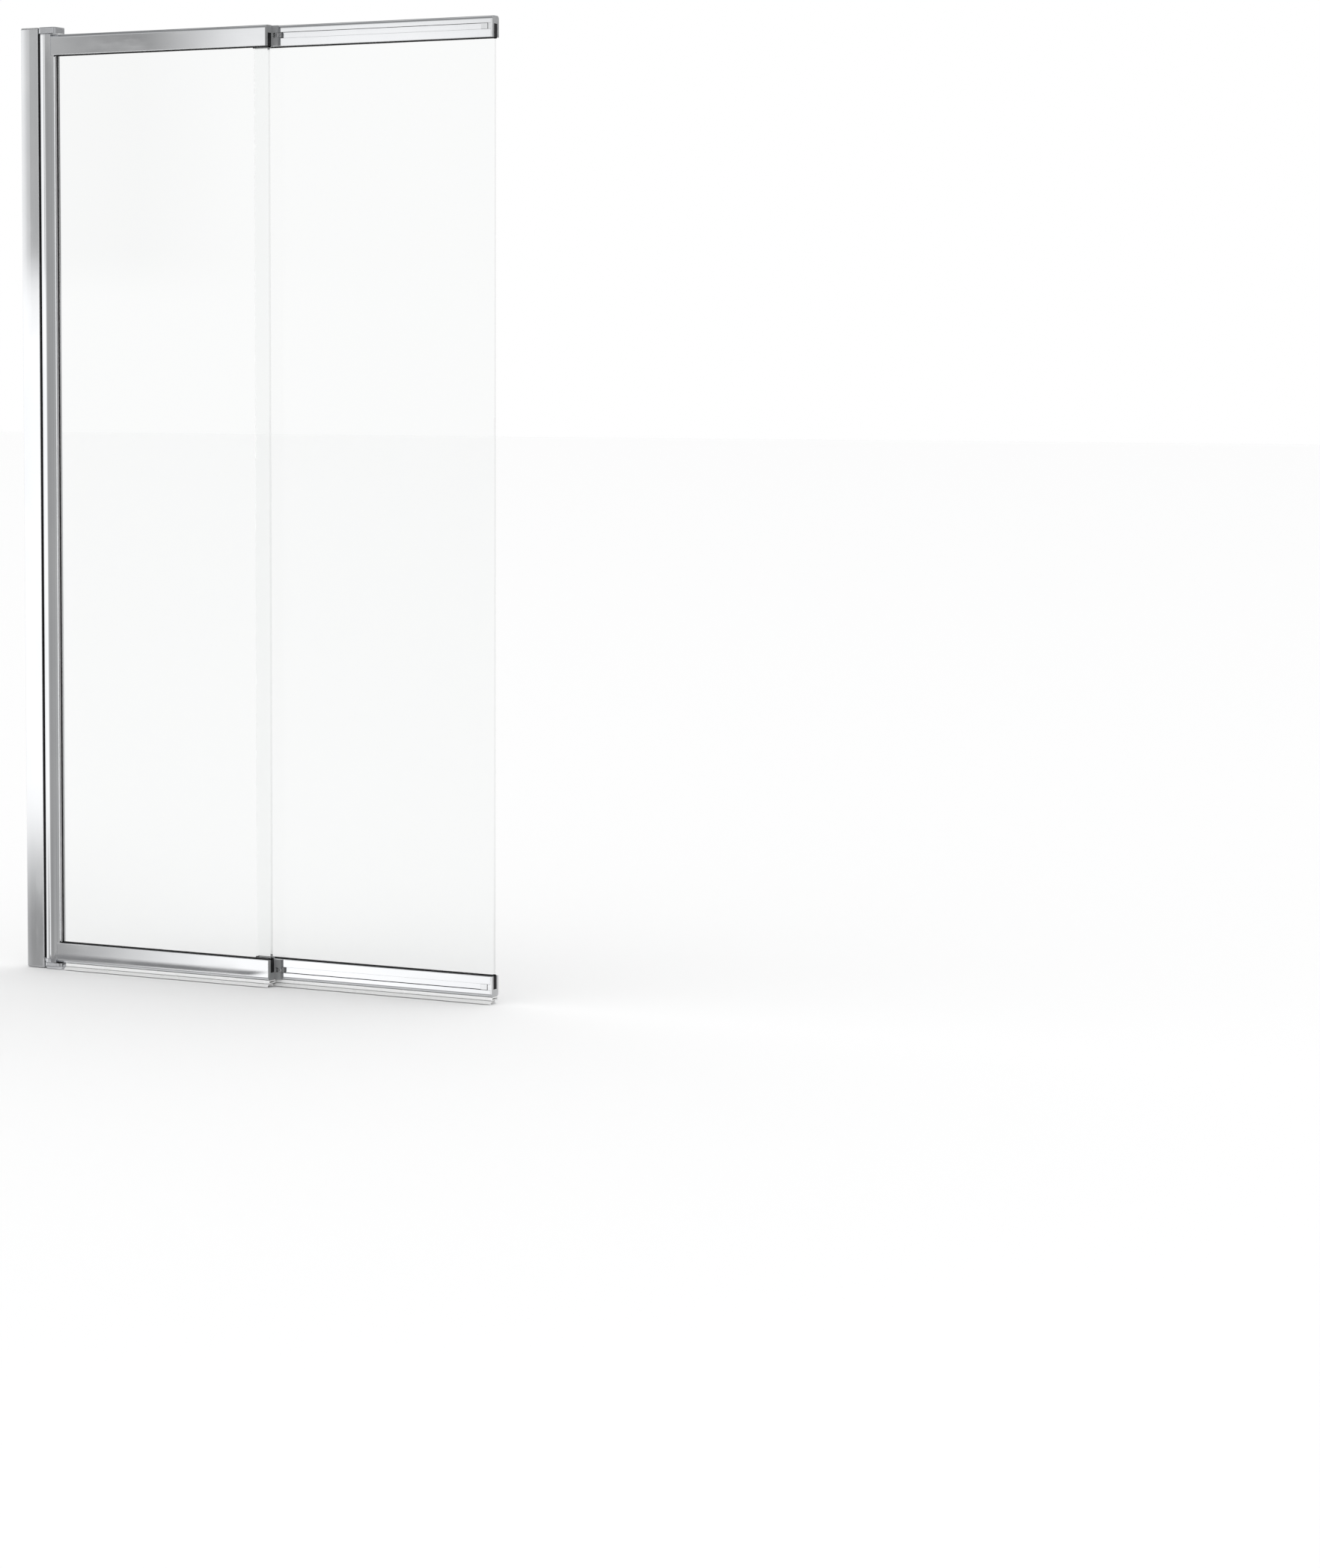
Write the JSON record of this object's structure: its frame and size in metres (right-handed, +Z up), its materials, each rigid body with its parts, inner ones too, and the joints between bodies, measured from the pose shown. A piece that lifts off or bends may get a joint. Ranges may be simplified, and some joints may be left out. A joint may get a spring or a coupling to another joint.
{
  "type": "bath screen",
  "caption": "Framed glass bath screen: a leaf that swings on a wall profile and a leaf that slides along it, chrome-look rails and seals along the foot.",
  "frame": {"origin": "on the wall plane, in the middle of the wall profile's depth, at the foot of the screen where it meets the rim of the bath", "axes": "+X from the wall along the bath rim, +Y from the outer side of the screen (where one stands) to the inner side (over the bath), +Z up; the swinging leaf's pane is centred on Y = 0"},
  "size_m": [0.796, 0.0426, 1.4],
  "materials": {
    "bright_aluminium": "bright polished, chrome look",
    "plain_aluminium": "mill finish",
    "plated_casting": "bright plated",
    "steel": "turned, bright",
    "guide_plastic": "fine satin",
    "cap_plastic": "satin, metal look",
    "bush_plastic": "smooth",
    "black_rubber": "matt, extruded",
    "seal_vinyl": "milky, soft",
    "clear_glass": "clear, polished edges"
  },
  "bodies": {
    "wall_body": {"wall_channel": "plain_aluminium", "wall_profile": "bright_aluminium", "wall_cap_bottom": "cap_plastic", "wall_cap_top": "cap_plastic", "hinge_bracket_bottom": "plated_casting", "hinge_bracket_top": "plated_casting", "hinge_pin_bottom": "steel", "hinge_pin_top": "steel", "thrust_washer": "bush_plastic", "bracket_screws": "steel", "adjuster_screws": "steel", "hinge_seal_front": "black_rubber", "hinge_seal_rear": "black_rubber"},
    "swing_leaf": {"hinge_post": "bright_aluminium", "post_foot": "plated_casting", "post_head": "plated_casting", "pivot_bush_bottom": "bush_plastic", "pivot_bush_top": "bush_plastic", "fixed_rail_bottom": "bright_aluminium", "fixed_rail_top": "bright_aluminium", "rail_screws": "steel", "guide_block_screws": "steel", "fixed_glass": "clear_glass", "fixed_gasket_bottom": "black_rubber", "fixed_gasket_top": "black_rubber", "post_gasket": "black_rubber", "guide_block_bottom": "guide_plastic", "guide_block_top": "guide_plastic", "slider_bottom": "guide_plastic", "slider_top": "guide_plastic", "slider_screws": "steel", "fixed_seal": "seal_vinyl"},
    "slide_leaf": {"slide_rail_bottom": "bright_aluminium", "slide_rail_top": "bright_aluminium", "sliding_glass": "clear_glass", "slide_gasket_bottom": "black_rubber", "slide_gasket_top": "black_rubber", "shoe_bottom": "guide_plastic", "shoe_top": "guide_plastic", "shoe_screws": "steel", "inner_cap_bottom": "cap_plastic", "inner_cap_top": "cap_plastic", "outer_cap_bottom": "cap_plastic", "outer_cap_top": "cap_plastic", "sliding_seal": "seal_vinyl"}
  },
  "joints": [
    {"name": "screen_swing", "type": "hinge", "parent": "wall_body", "child": "swing_leaf", "pos_m": [0.0453, 0, 0], "axis": [0, 0, 1], "range_deg": [-90, 90]},
    {"name": "panel_slide", "type": "slide", "parent": "swing_leaf", "child": "slide_leaf", "axis": [-1, 0, 0], "range_m": [0, 0.33]}
  ]
}
